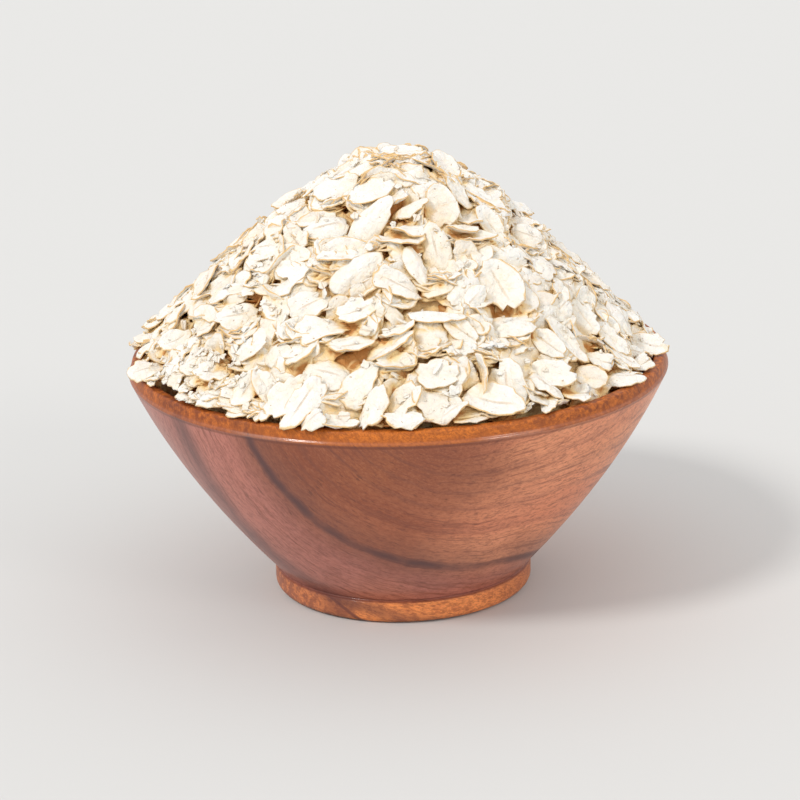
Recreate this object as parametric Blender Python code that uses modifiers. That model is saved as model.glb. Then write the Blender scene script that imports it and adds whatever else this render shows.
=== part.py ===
"""A small turned wooden bowl, heaped with rolled oats.

Metres, +Z up. The origin is the middle of the foot's flat underside, which rests on the table.
The front of the bowl faces -Y.
"""

import math
import random

import bmesh
import bpy
from mathutils import Matrix, Vector, noise

MM = 0.001

# The bowl's outside: a cone with a slight belly, on a short foot, under a narrow rim band.
RIM_RADIUS = 57.0 * MM  # at the sharp edge under the rim band, the widest place
EDGE_HEIGHT = 48.8 * MM
RIM_HEIGHT = 51.4 * MM
BAND_LEAN = 0.8 * MM  # how far the band leans inwards by its top
RIM_FLAT = 2.2 * MM  # width of the rim's flat top
RIM_ROUND = 0.55 * MM
BELLY = 2.54 * MM  # how far the wall bulges out, level, at its middle
NECK_RADIUS = 26.7 * MM  # where the wall meets the foot
NECK_HEIGHT = 5.3 * MM
FOOT_RADIUS = 27.7 * MM
FOOT_EDGE = 1.5 * MM  # the rounding at the foot's lower edge

# The bowl's inside.
FLOOR_HEIGHT = 11.0 * MM
FLOOR_RADIUS = 9.0 * MM
WALL_AT_RIM = 3.0 * MM  # wall thickness, level, just under the rim
WALL_LOW = 6.0 * MM
BEND_HEIGHT = 22.0 * MM  # the floor's curve runs into the wall here
BEND_STEPS = 5
WALL_STEPS = 7
BOWL_SIDES = 52
SHARP_ANGLE = math.radians(35.0)
MERGE_DISTANCE = 0.01 * MM

# The heap: its height falls from the top by slope * (hypot(radius, blunt) - blunt).
# The left side is fuller below the top, and the right side rounder, then steeper.
HEAP_TOP = 94.8 * MM
LEFT_SLOPE, LEFT_BLUNT = 1.0, 17.5 * MM
RIGHT_SLOPE, RIGHT_BLUNT = 1.18, 24.0 * MM
CORE_DEPTH = 2.1 * MM  # the solid core lies this far under the outermost flakes
CORE_RINGS = 13
CORE_SIDES = 40
CORE_LUMPS = 0.7 * MM  # height of the core's gentle unevenness
LUMP_SIZE = 12.0 * MM
GAP = 0.35 * MM  # between oats and wood

# The flakes.
FLAKE_COUNT = 166
FLAKE_SIDES = 7
FLAKE_THICKNESS = 0.85 * MM
FLAKE_LENGTH = (8.4 * MM, 12.0 * MM)
FLAKE_WIDTH = (5.8 * MM, 8.2 * MM)
FLAKE_LIFT = (0.0, 0.5 * MM)  # height of a flake's middle over the core
LEAN_MIDDLE, LEAN_SPREAD = 9.0, 13.0  # degrees that a flake leans out of the heap's surface
HEAP_REACH = 55.5 * MM  # the outermost flakes' middles
FLAKE_TRIES = 12  # a flake that would cross the wood is moved in and up this often at most
STEP_IN, STEP_UP = 0.6 * MM, 0.08 * MM
GOLDEN_ANGLE = math.pi * (3.0 - math.sqrt(5.0))
SEED = 4
FLAT_ANGLE = math.radians(2.0)  # faces that lie this nearly in one plane are joined
EDGE_SHARES = (0.0, 0.2, 0.4, 0.6, 0.8)  # points along a flake's edge that must clear the wood

# Colours, as linear red, green and blue.
WOOD_COLOUR, WOOD_ROUGHNESS = (0.30, 0.115, 0.06), 0.35
OATS_COLOUR, OATS_ROUGHNESS = (0.80, 0.70, 0.52), 0.8

# Flakes that stand out: azimuth in degrees (0 right, -90 front), distance of the middle from the
# axis in mm, length and width in mm, the turn of its length from level, and how far it leans.
SHOWN_FLAKES = (
    ("face_on", -63, 18.7, 9.5, 8.0, 90, 12),
    ("under_it", -72, 25.3, 11.0, 6.4, 80, 20),
    ("diagonal", -107, 19.5, 12.0, 8.0, 40, 14),
    ("bottom_standing", -65, 49.8, 11.8, 8.2, 85, 42),
    ("bottom_broad", -70, 51.5, 12.0, 8.4, 10, -6),
    ("front_right", -50, 49.5, 10.0, 7.2, 15, 26),
    ("front_middle", -81, 47.3, 10.5, 7.6, 0, 24),
    ("right_low", -41, 50.5, 10.0, 6.8, 20, 20),
    ("front_left_over", -110, 53.6, 11.5, 8.0, 78, 4),
    ("right_over", -7, 54.6, 10.5, 7.0, 70, 8),
    ("left_over", -163, 54.4, 10.0, 6.6, 60, 8),
)


def clear_scene():
    for item in list(bpy.data.objects):
        bpy.data.objects.remove(item, do_unlink=True)


def new_collection(name):
    group = bpy.data.collections.new(name)
    bpy.context.scene.collection.children.link(group)
    return group


def new_material(name, colour, roughness):
    material = bpy.data.materials.new(name)
    material.use_nodes = True
    shader = material.node_tree.nodes["Principled BSDF"]
    shader.inputs["Base Color"].default_value = (*colour, 1.0)
    shader.inputs["Roughness"].default_value = roughness
    shader.inputs["Metallic"].default_value = 0.0
    return material


def outer_radius(height):
    """Radius of the bowl's outside between the neck and the edge under the rim."""
    share = (height - NECK_HEIGHT) / (EDGE_HEIGHT - NECK_HEIGHT)
    straight = NECK_RADIUS + share * (RIM_RADIUS - NECK_RADIUS)
    return straight + 4.0 * share * (1.0 - share) * BELLY


def inner_radius(height):
    """Radius of the bowl's inside above its bend."""
    share = (height - BEND_HEIGHT) / (EDGE_HEIGHT - BEND_HEIGHT)
    wall = WALL_LOW + min(share, 1.0) * (WALL_AT_RIM - WALL_LOW)
    if height > EDGE_HEIGHT:
        return RIM_RADIUS - WALL_AT_RIM
    return outer_radius(height) - wall


def inside_outline(inset=0.0, steps=BEND_STEPS):
    """The bowl's inside from the middle of the floor up to the edge height, moved in by inset."""
    start = Vector((FLOOR_RADIUS, 0.0, FLOOR_HEIGHT))
    end = Vector((inner_radius(BEND_HEIGHT), 0.0, BEND_HEIGHT))
    rise = MM
    run = inner_radius(BEND_HEIGHT + rise) - inner_radius(BEND_HEIGHT)
    corner = Vector((end.x - (end.z - start.z) * run / rise, 0.0, start.z))
    points = [Vector((0.0, 0.0, FLOOR_HEIGHT))]
    for step in range(steps + 1):
        share = step / steps
        points.append(start.lerp(corner, share).lerp(corner.lerp(end, share), share))
    for step in range(1, steps):
        height = BEND_HEIGHT + (EDGE_HEIGHT - BEND_HEIGHT) * step / (steps - 1)
        points.append(Vector((inner_radius(height), 0.0, height)))
    if inset:
        points = [Vector((max(point.x - inset, 0.0), 0.0, point.z + 0.7 * inset)) for point in points]
    return points


def screw_object(name, points, sides, group):
    """A profile of (radius, height) points turned once about the Z axis."""
    mesh = bpy.data.meshes.new(name)
    bm = bmesh.new()
    verts = [bm.verts.new(point) for point in points]
    for above, below in zip(verts, verts[1:]):
        bm.edges.new((above, below))
    bm.to_mesh(mesh)
    bm.free()
    item = bpy.data.objects.new(name, mesh)
    group.objects.link(item)
    screw = item.modifiers.new("Turn", "SCREW")
    screw.axis = "Z"
    screw.angle = math.tau
    screw.steps = sides
    screw.render_steps = sides
    screw.use_merge_vertices = True
    screw.merge_threshold = MERGE_DISTANCE
    return item


def applied(item):
    """Replaces an object's mesh by its evaluated mesh, with the modifiers done."""
    bpy.context.view_layer.update()
    evaluated = item.evaluated_get(bpy.context.evaluated_depsgraph_get())
    mesh = bpy.data.meshes.new_from_object(evaluated)
    item.modifiers.clear()
    item.data = mesh
    return item


def make_bowl(group):
    top = RIM_HEIGHT
    inner = RIM_RADIUS - WALL_AT_RIM
    band = RIM_RADIUS - BAND_LEAN
    outline = inside_outline()
    outline += [
        Vector((inner, 0.0, top - RIM_ROUND)),
        Vector((inner + 0.4 * RIM_ROUND, 0.0, top)),
        Vector((inner + RIM_FLAT - RIM_ROUND, 0.0, top)),
        Vector((band, 0.0, top - RIM_ROUND)),
        Vector((RIM_RADIUS - 0.15 * BAND_LEAN, 0.0, EDGE_HEIGHT + 0.4 * MM)),
    ]
    for step in range(WALL_STEPS + 1):
        height = EDGE_HEIGHT + (NECK_HEIGHT - EDGE_HEIGHT) * step / WALL_STEPS
        outline.append(Vector((outer_radius(height), 0.0, height)))
    outline += [
        Vector((FOOT_RADIUS - 0.2 * MM, 0.0, NECK_HEIGHT - 1.2 * MM)),
        Vector((FOOT_RADIUS, 0.0, FOOT_EDGE)),
        Vector((FOOT_RADIUS - 0.4 * FOOT_EDGE, 0.0, 0.3 * FOOT_EDGE)),
        Vector((FOOT_RADIUS - FOOT_EDGE, 0.0, 0.0)),
        Vector((0.0, 0.0, 0.0)),
    ]
    bowl = applied(screw_object("bowl", outline, BOWL_SIDES, group))
    bowl.data.shade_smooth()
    bowl.data.set_sharp_from_angle(angle=SHARP_ANGLE)
    bowl.data.materials.append(new_material("turned_wood", WOOD_COLOUR, WOOD_ROUGHNESS))
    return bowl


def heap_height(x, y):
    """Height of the heap's outermost flakes over a place on the table."""
    reach = math.hypot(x, y)
    right = 0.5 + 0.5 * x / max(reach, MM)
    left_fall = LEFT_SLOPE * (math.hypot(reach, LEFT_BLUNT) - LEFT_BLUNT)
    right_fall = RIGHT_SLOPE * (math.hypot(reach, RIGHT_BLUNT) - RIGHT_BLUNT)
    return HEAP_TOP - (1.0 - right) * left_fall - right * right_fall


def heap_point(azimuth, reach, depth):
    """A point under the heap's surface, with the surface's normal and its level and uphill ways."""
    x = reach * math.cos(azimuth)
    y = reach * math.sin(azimuth)
    step = MM
    slope_x = (heap_height(x + step, y) - heap_height(x - step, y)) / (2.0 * step)
    slope_y = (heap_height(x, y + step) - heap_height(x, y - step)) / (2.0 * step)
    normal = Vector((-slope_x, -slope_y, 1.0)).normalized()
    level = Vector((-math.sin(azimuth), math.cos(azimuth), 0.0))
    uphill = normal.cross(level).normalized()
    level = uphill.cross(normal)
    point = Vector((x, y, heap_height(x, y) - depth))
    return point, Matrix((level, uphill, normal)).transposed()


def make_core(group):
    """The solid middle of the heap: the bowl's inside below, and the lumpy heap above."""
    edge = RIM_RADIUS - WALL_AT_RIM - GAP
    outline = []
    for ring in range(CORE_RINGS):
        outline.append(Vector((edge * ring / (CORE_RINGS - 1), 0.0, RIM_HEIGHT + MM)))
    outline += reversed(inside_outline(GAP))
    core = applied(screw_object("oats", outline, CORE_SIDES, group))
    for vert in core.data.vertices:
        if vert.co.z > RIM_HEIGHT:
            height = heap_height(vert.co.x, vert.co.y) - CORE_DEPTH
            lump = noise.noise(vert.co / LUMP_SIZE) * CORE_LUMPS
            vert.co.z = max(height + lump, RIM_HEIGHT)
    return core


def flake_shape(length, width, draw):
    """An uneven, slightly cupped oval flake, lying flat with its middle at the origin."""
    bm = bmesh.new()
    bmesh.ops.create_cone(
        bm,
        cap_ends=True,
        cap_tris=True,
        segments=FLAKE_SIDES,
        radius1=0.5,
        radius2=0.5,
        depth=FLAKE_THICKNESS,
    )
    reach = [draw.uniform(0.88, 1.08) for side in range(FLAKE_SIDES)]
    narrowing = draw.uniform(-0.3, 0.3)
    cup = draw.uniform(-0.4, 1.3) * MM
    twist = draw.uniform(-0.6, 0.6) * MM
    for vert in bm.verts:
        side = round(math.atan2(vert.co.y, vert.co.x) / math.tau * FLAKE_SIDES) % FLAKE_SIDES
        x = vert.co.x * reach[side]
        y = vert.co.y * reach[side] * (1.0 + narrowing * x)
        lift = cup * 4.0 * (x * x + y * y) + twist * 4.0 * x * y
        vert.co = Vector((x * length, y * width, vert.co.z + lift))
    return bm


def too_near_wood(points):
    """Whether any of the points is inside the bowl's wall, or nearer to it than the gap."""
    inner = RIM_RADIUS - WALL_AT_RIM
    for point in points:
        reach = math.hypot(point.x, point.y)
        if point.z < RIM_HEIGHT + GAP and reach > inner - GAP:
            if point.z > EDGE_HEIGHT - 4.0 * MM and reach > RIM_RADIUS + GAP:
                continue
            return True
        if point.z < EDGE_HEIGHT and reach > inner_radius(point.z) - GAP:
            return True
    return False


def edge_samples(bm, placed):
    """Corners of the flake, and points along its edges, where it is to lie."""
    points = []
    for edge in bm.edges:
        start, end = (placed @ vert.co for vert in edge.verts)
        points += [start.lerp(end, share) for share in EDGE_SHARES]
    return points


def place_flake(name, bm, azimuth, reach, turn, lean, sink, group):
    """Lays a flake on the core. One that would cross the bowl is lifted and drawn in, or left out."""
    for attempt in range(FLAKE_TRIES):
        inwards = reach - STEP_IN * attempt
        point, basis = heap_point(azimuth, inwards, sink - STEP_UP * attempt)
        tilt = Matrix.Rotation(lean, 3, "X") @ Matrix.Rotation(turn, 3, "Z")
        placed = Matrix.Translation(point) @ (basis @ tilt).to_4x4()
        if not too_near_wood(edge_samples(bm, placed)):
            break
    else:
        bm.free()
        return None
    bm.transform(placed)
    mesh = bpy.data.meshes.new(name)
    bm.to_mesh(mesh)
    bm.free()
    item = bpy.data.objects.new(name, mesh)
    group.objects.link(item)
    return item


def scatter_flakes(group):
    """The flakes that stand out, then the rest evenly over the heap, the larger ones first."""
    draw = random.Random(SEED)
    placed = []
    for name, azimuth, reach, length, width, turn, lean in SHOWN_FLAKES:
        shape = flake_shape(length * MM, width * MM, draw)
        angle = math.radians(azimuth)
        placed.append(
            place_flake(
                "flake_" + name,
                shape,
                angle,
                reach * MM,
                math.radians(turn),
                math.radians(lean),
                CORE_DEPTH - 0.9 * MM,
                group,
            )
        )
    for index in range(FLAKE_COUNT):
        share = (index + 0.5) / FLAKE_COUNT
        size = 1.0 - 0.8 * draw.random() ** 0.8
        length = FLAKE_LENGTH[0] + size * (FLAKE_LENGTH[1] - FLAKE_LENGTH[0])
        width = FLAKE_WIDTH[0] + draw.random() * size * (FLAKE_WIDTH[1] - FLAKE_WIDTH[0])
        shape = flake_shape(length, width, draw)
        azimuth = index * GOLDEN_ANGLE + draw.uniform(-0.05, 0.05)
        reach = HEAP_REACH * math.sqrt(share) + draw.uniform(-0.6, 0.6) * MM
        turn = draw.uniform(0.0, math.pi)
        lean = math.radians(draw.gauss(LEAN_MIDDLE, LEAN_SPREAD))
        sink = CORE_DEPTH - draw.uniform(*FLAKE_LIFT)
        placed.append(place_flake(f"flake_{index:03d}", shape, azimuth, reach, turn, lean, sink, group))
    return [item for item in placed if item]


def largest_body(mesh):
    """Keeps the outer body alone, so that sealed hollows are filled and loose scraps dropped."""
    bm = bmesh.new()
    bm.from_mesh(mesh)
    bmesh.ops.dissolve_limit(bm, angle_limit=FLAT_ANGLE, verts=bm.verts, edges=bm.edges)
    bmesh.ops.triangulate(bm, faces=bm.faces)
    waiting = set(bm.faces)
    bodies = []
    while waiting:
        body = {waiting.pop()}
        front = list(body)
        while front:
            face = front.pop()
            for edge in face.edges:
                for other in edge.link_faces:
                    if other in waiting:
                        waiting.discard(other)
                        body.add(other)
                        front.append(other)
        bodies.append(body)
    bodies.sort(key=len, reverse=True)
    spare = [face for body in bodies[1:] for face in body]
    bmesh.ops.delete(bm, geom=spare, context="FACES")
    bm.to_mesh(mesh)
    bm.free()
    return len(bodies) - 1


def make_oats(group, helpers):
    """The heap as one solid: its core with the flakes that show fused on."""
    core = make_core(group)
    flakes = scatter_flakes(helpers)
    union = core.modifiers.new("Fuse flakes", "BOOLEAN")
    union.operation = "UNION"
    union.operand_type = "COLLECTION"
    union.collection = helpers
    union.solver = "EXACT"
    oats = applied(core)
    count = len(flakes)
    for flake in flakes:
        bpy.data.objects.remove(flake, do_unlink=True)
    dropped = largest_body(oats.data)
    oats.data.materials.clear()
    oats.data.materials.append(new_material("rolled_oats", OATS_COLOUR, OATS_ROUGHNESS))
    oats.data.shade_flat()
    print(f"oats: {count} flakes, {len(oats.data.polygons)} triangles, {dropped} scraps dropped")
    return oats


def main():
    clear_scene()
    parts = new_collection("bowl_of_rolled_oats")
    helpers = new_collection("flakes_to_fuse")
    bowl = make_bowl(parts)
    make_oats(parts, helpers)
    print(f"bowl: {len(bowl.data.polygons)} faces")


main()
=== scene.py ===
# %% [markdown]
# # A wooden bowl heaped with rolled oats
#
# The object is a small turned bowl, 114 mm across, with a tall heap of rolled oats in it. A fixed
# frame is loaded first: two plain solids, named bowl and oats, at the real size and in metres. Each
# is replaced below by a finer piece in the same place. Nothing is moved or resized.

# %% Load the frame
import math
from collections import namedtuple
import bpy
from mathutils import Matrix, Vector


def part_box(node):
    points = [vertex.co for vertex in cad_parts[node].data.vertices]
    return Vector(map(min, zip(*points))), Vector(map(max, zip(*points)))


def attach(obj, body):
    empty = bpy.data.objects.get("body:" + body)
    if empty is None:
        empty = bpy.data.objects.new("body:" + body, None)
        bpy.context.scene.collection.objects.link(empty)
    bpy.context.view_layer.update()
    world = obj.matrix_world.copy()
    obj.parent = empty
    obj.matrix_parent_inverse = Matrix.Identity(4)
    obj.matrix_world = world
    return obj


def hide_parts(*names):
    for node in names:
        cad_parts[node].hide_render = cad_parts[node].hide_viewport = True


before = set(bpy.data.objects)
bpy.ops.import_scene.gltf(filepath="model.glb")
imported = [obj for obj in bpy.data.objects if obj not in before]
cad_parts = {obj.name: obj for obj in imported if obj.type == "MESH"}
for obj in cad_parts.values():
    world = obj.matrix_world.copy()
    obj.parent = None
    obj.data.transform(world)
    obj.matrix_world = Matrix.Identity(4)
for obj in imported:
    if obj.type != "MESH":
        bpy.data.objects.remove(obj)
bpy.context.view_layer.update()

from types import SimpleNamespace

import bmesh
import bpy
import numpy as np
from mathutils import Quaternion, Vector, noise

MM = 0.001
BOWL_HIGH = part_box("bowl")[1]
print("bowl's upper corner in mm:", [round(v / MM, 1) for v in BOWL_HIGH])

# %% [markdown]
# ## The camera
#
# The bowl is seen from a little above, 17 degrees, with a long lens, so it hardly tapers with
# distance. The lens and the place were worked out from the bowl's own outline. The picture is also
# turned by just over a degree, because the bowl's right side stands a little higher there.

# %% Camera
PICTURE = 800  # pixels on each side
CAMERA_PLACE = Vector((0.0, -525.9, 206.0)) * MM
CAMERA_AIM = Vector((0.125, 0.0, 40.07)) * MM
CAMERA_TURN = math.radians(-1.338)
CAMERA_LENS = 116.3  # mm
SENSOR = 36.0  # mm

camera_data = bpy.data.cameras.new("camera")
camera_data.lens = CAMERA_LENS
camera_data.sensor_width = SENSOR
camera = bpy.data.objects.new("camera", camera_data)
bpy.context.scene.collection.objects.link(camera)
CAMERA_FRAME = (
    (CAMERA_AIM - CAMERA_PLACE).to_track_quat("-Z", "Y") @ Quaternion((0, 0, 1), CAMERA_TURN)
).to_matrix()
camera.location = CAMERA_PLACE
camera.rotation_euler = CAMERA_FRAME.to_euler()
bpy.context.scene.camera = camera
PIXELS_PER_SLOPE = CAMERA_LENS / SENSOR * PICTURE
CAMERA_AXES = np.array(CAMERA_FRAME)
CAMERA_SPOT = np.array(CAMERA_PLACE)


def to_pixels(points):
    """Where points are in the picture, from its upper left corner, and how far away they are."""
    seen = (np.asarray(points, float) - CAMERA_SPOT) @ CAMERA_AXES
    right = PICTURE / 2 - PIXELS_PER_SLOPE * seen[..., 0] / seen[..., 2]
    down = PICTURE / 2 + PIXELS_PER_SLOPE * seen[..., 1] / seen[..., 2]
    return right, down, -seen[..., 2]


def pixel_ray(right, down):
    """The direction from the camera through a pixel."""
    seen = np.array([right - PICTURE / 2, PICTURE / 2 - down, -PIXELS_PER_SLOPE])
    return CAMERA_AXES @ seen / np.linalg.norm(seen)


RIM_RADIUS = BOWL_HIGH.x
EDGE_HEIGHT = 48.8 * MM  # the sharp lower edge of the rim band
for x, y in ((RIM_RADIUS, 0), (-RIM_RADIUS, 0), (0, -RIM_RADIUS)):
    print("rim edge at pixel", [round(float(v), 1) for v in to_pixels((x, y, EDGE_HEIGHT))[:2]])

# %% [markdown]
# ## The light and the floor
#
# The picture is bright and its shadows are soft. A pale room gives most of the light. A soft key
# light from the front left makes the flakes stand out, and a weak one from the front right fills in.
# Sun lamps with a wide angle light a small object evenly and keep the floor in one tone. The floor
# is a plain pale sheet.

# %% Light and floor
scene = bpy.context.scene
scene.view_settings.view_transform = "Standard"
scene.view_settings.look = "None"
ROOM_COLOUR = (0.985, 0.987, 0.995)
ROOM_STRENGTH = 0.98

world = bpy.data.worlds.new("room")
world.use_nodes = True
world.node_tree.nodes["Background"].inputs["Color"].default_value = (*ROOM_COLOUR, 1.0)
world.node_tree.nodes["Background"].inputs["Strength"].default_value = ROOM_STRENGTH
scene.world = world


def soft_light(name, come_from, strength, angle, colour):
    """A wide, even light whose rays come from one side."""
    data = bpy.data.lights.new(name, "SUN")
    data.energy = strength
    data.angle = math.radians(angle)
    data.color = colour
    lamp = bpy.data.objects.new(name, data)
    lamp.rotation_euler = (-Vector(come_from)).to_track_quat("-Z", "Y").to_euler()
    scene.collection.objects.link(lamp)


soft_light("key", (-0.78, -0.7, 1.05), 1.42, 12, (1.0, 0.985, 0.965))
soft_light("fill", (0.8, -0.85, 0.62), 0.36, 16, (1.0, 0.975, 0.945))


def new_shader(name):
    """A material with a Principled shader, and its node tree and shader node."""
    material = bpy.data.materials.new(name)
    material.use_nodes = True
    return material, material.node_tree, material.node_tree.nodes["Principled BSDF"]


def set_values(shader, **values):
    """Sets plain values on a shader's own sockets."""
    for name, value in values.items():
        shader.inputs[name.replace("_", " ")].default_value = value


FLOOR_SIZE, FLOOR_BACK, FLOOR_DROP = 12.0, 3.0, 0.2 * MM
FLOOR_COLOUR = (0.61, 0.607, 0.594)
bpy.ops.object.select_all(action="DESELECT")
bpy.ops.mesh.primitive_plane_add(size=FLOOR_SIZE, location=(0, FLOOR_BACK, -FLOOR_DROP))
floor = bpy.context.object
floor.name = "floor"
material, tree, shader = new_shader("floor_paper")
set_values(shader, Base_Color=(*FLOOR_COLOUR, 1.0), Roughness=0.95, Specular_IOR_Level=0.1)
floor.data.materials.append(material)

# %% [markdown]
# ## Small helpers
#
# An operator works on whatever is selected, so each step starts from a clean selection. Node trees
# read better when one short call makes a node, sets its values and joins its inputs, and plain
# arithmetic has calls of its own.

# %% Helpers


def start_piece():
    """Leaves nothing selected, so that the next operator works on the new piece alone."""
    if bpy.context.object and bpy.context.object.mode != "OBJECT":
        bpy.ops.object.mode_set(mode="OBJECT")
    bpy.ops.object.select_all(action="DESELECT")


def add_node(tree, kind, settings=None, **inputs):
    """A node with its settings, whose inputs take a value or another node's output."""
    node = tree.nodes.new(kind)
    for name, value in (settings or {}).items():
        setattr(node, name, value)
    for name, value in inputs.items():
        key = int(name[1:]) if name[0] == "i" and name[1:].isdigit() else name.replace("_", " ")
        if isinstance(value, bpy.types.NodeSocket):
            tree.links.new(value, node.inputs[key])
        else:
            node.inputs[key].default_value = value
    return node


def maths(tree, operation, *values):
    """One step of arithmetic on numbers."""
    inputs = {f"i{index}": value for index, value in enumerate(values)}
    return add_node(tree, "ShaderNodeMath", {"operation": operation}, **inputs).outputs[0]


def times(tree, first, *others):
    """Numbers multiplied together."""
    for other in others:
        first = maths(tree, "MULTIPLY", first, other)
    return first


def centred(tree, value):
    """A value from 0 to 1 moved down, so that it swings about nothing."""
    return maths(tree, "SUBTRACT", value, 0.5)


def far_from(tree, value, centre):
    """How far a value is from a centre, on either side of it."""
    return maths(tree, "ABSOLUTE", maths(tree, "SUBTRACT", value, centre))


def as_place(tree, x, y, z):
    """A place put together from three numbers."""
    return add_node(tree, "ShaderNodeCombineXYZ", None, X=x, Y=y, Z=z).outputs[0]


def vector_maths(tree, operation, first, second):
    """One step of arithmetic on places."""
    settings = {"operation": operation}
    return add_node(tree, "ShaderNodeVectorMath", settings, i0=first, i1=second).outputs[0]


# %% [markdown]
# ## Paints and patterns
#
# Both finishes are built up like glazes: one colour lies under, and thin paints go over it where a
# pattern says so. A picture could be wrapped round each piece instead, but patterns that are worked
# out at every point stay fine from close by and fit any shape.

# %% Helpers for paints


def remap(tree, value, low, high, to_low=0.0, to_high=1.0):
    """Stretches a range of values onto another, smoothly, and holds it there."""
    settings = {"interpolation_type": "SMOOTHSTEP"}
    limits = {"From_Min": low, "From_Max": high, "To_Min": to_low, "To_Max": to_high}
    return add_node(tree, "ShaderNodeMapRange", settings, Value=value, **limits).outputs["Result"]


def mix_colours(tree, share, first, second):
    """One colour laid over another."""
    node = tree.nodes.new("ShaderNodeMix")
    node.data_type = "RGBA"
    for socket, value in ((node.inputs[0], share), (node.inputs[6], first), (node.inputs[7], second)):
        if isinstance(value, bpy.types.NodeSocket):
            tree.links.new(value, socket)
        elif isinstance(value, (int, float)):
            socket.default_value = value
        else:
            socket.default_value = (*value, 1.0)
    return node.outputs[2]


def noise_of(tree, place, scale, detail=2.0, roughness=0.5, distortion=0.0):
    """Soft random values from 0 to 1 over a place."""
    values = {"Vector": place, "Scale": scale, "Detail": detail, "Roughness": roughness}
    return add_node(tree, "ShaderNodeTexNoise", None, **values, Distortion=distortion).outputs["Fac"]


def lay_over(tree, colour, layers):
    """Lays paints over a colour, one after another.

    A layer is a pattern, its value where nothing shows, its value where the most shows, how much
    that is, and the paint.
    """
    for pattern, none_at, most_at, most, paint in layers:
        share = remap(tree, pattern, none_at, most_at, 0.0, most)
        colour = mix_colours(tree, share, colour, paint)
    return colour


def add_relief(tree, shader, relief, strength, depth):
    """Makes a surface look uneven by a pattern of heights."""
    bump = add_node(tree, "ShaderNodeBump", None, Strength=strength, Distance=depth, Height=relief)
    tree.links.new(bump.outputs["Normal"], shader.inputs["Normal"])


# %% [markdown]
# ## The turned bowl
#
# The real bowl is cut on a lathe, so every level is a circle. It could be a profile with a Screw
# modifier. Here it is drawn up instead, as a turner would follow the outline: a disc is added, and
# its edge is extruded and scaled again and again, up the foot and the wall, over the rim and down
# the inside. The wall has a slight belly, and the rim band ends below in a crisp bead that catches
# the light.

# %% Bowl outline
RIM_HEIGHT = BOWL_HIGH.z
BAND_LEAN = 0.8 * MM
BEAD, SHOULDER = 0.4 * MM, 0.3 * MM
RIM_ROUND = 0.6 * MM
WALL_AT_RIM = 3.0 * MM
WALL_LOW = 6.0 * MM
BELLY = 2.54 * MM
NECK_RADIUS, NECK_HEIGHT = 27.3 * MM, 5.3 * MM
FOOT_RADIUS, FOOT_EDGE = 27.7 * MM, 1.5 * MM
FLOOR_HEIGHT, FLOOR_RADIUS, BEND_HEIGHT = 11.0 * MM, 9.0 * MM, 22.0 * MM


def outer_radius(height):
    """The wall's outside between the neck and the edge under the rim."""
    share = (height - NECK_HEIGHT) / (EDGE_HEIGHT - NECK_HEIGHT)
    return NECK_RADIUS + share * (RIM_RADIUS - NECK_RADIUS) + 4 * share * (1 - share) * BELLY


def inner_radius(height):
    """The bowl's inside above its bend."""
    share = min((height - BEND_HEIGHT) / (EDGE_HEIGHT - BEND_HEIGHT), 1.0)
    if height > EDGE_HEIGHT:
        return RIM_RADIUS - WALL_AT_RIM
    return outer_radius(height) - WALL_LOW - share * (WALL_AT_RIM - WALL_LOW)


def arc(centre, radius, start, end, steps):
    """Points on a round corner, from one angle to another, in degrees."""
    points = []
    for step in range(steps + 1):
        angle = math.radians(start + (end - start) * step / steps)
        points.append((centre[0] + radius * math.cos(angle), centre[1] + radius * math.sin(angle)))
    return points


def bowl_outline():
    """(radius, height) from the underside, up the outside, over the rim, to the floor's middle."""
    points = arc((FOOT_RADIUS - FOOT_EDGE, FOOT_EDGE), FOOT_EDGE, -90, 0, 6)
    points += [(FOOT_RADIUS, 2.8 * MM)]
    points += arc((FOOT_RADIUS - SHOULDER, 4.4 * MM), SHOULDER, 0, 75, 4)
    points += [(NECK_RADIUS - 0.05 * MM, 4.8 * MM), (NECK_RADIUS - 0.15 * MM, 5.0 * MM)]
    steps = 26
    for step in range(1, steps):
        height = NECK_HEIGHT + (EDGE_HEIGHT - NECK_HEIGHT) * step / steps
        points.append((outer_radius(height), height))
    points += arc((RIM_RADIUS - BEAD, EDGE_HEIGHT + 0.02 * MM), BEAD, -35, 60, 6)
    points += [(RIM_RADIUS - 0.3 * MM, EDGE_HEIGHT + 0.55 * MM)]
    points += [(RIM_RADIUS - 0.45 * MM, EDGE_HEIGHT + 1.3 * MM)]
    top = RIM_HEIGHT - RIM_ROUND
    points += arc((RIM_RADIUS - BAND_LEAN - 0.45 * MM, top), RIM_ROUND, 12, 90, 5)
    points += arc((RIM_RADIUS - WALL_AT_RIM + RIM_ROUND, top), RIM_ROUND, 90, 180, 5)
    for step in range(1, 11):
        height = top + (BEND_HEIGHT - top) * step / 10
        points.append((inner_radius(height), height))
    bend = inner_radius(BEND_HEIGHT)
    for step in range(1, 7):
        share = step / 6
        height = BEND_HEIGHT + (FLOOR_HEIGHT - BEND_HEIGHT) * (1 - (1 - share) ** 2)
        points.append((bend + (FLOOR_RADIUS - bend) * share**2 * (1.6 - 0.6 * share), height))
    return points


# %% Bowl
BOWL_SIDES = 180


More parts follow.
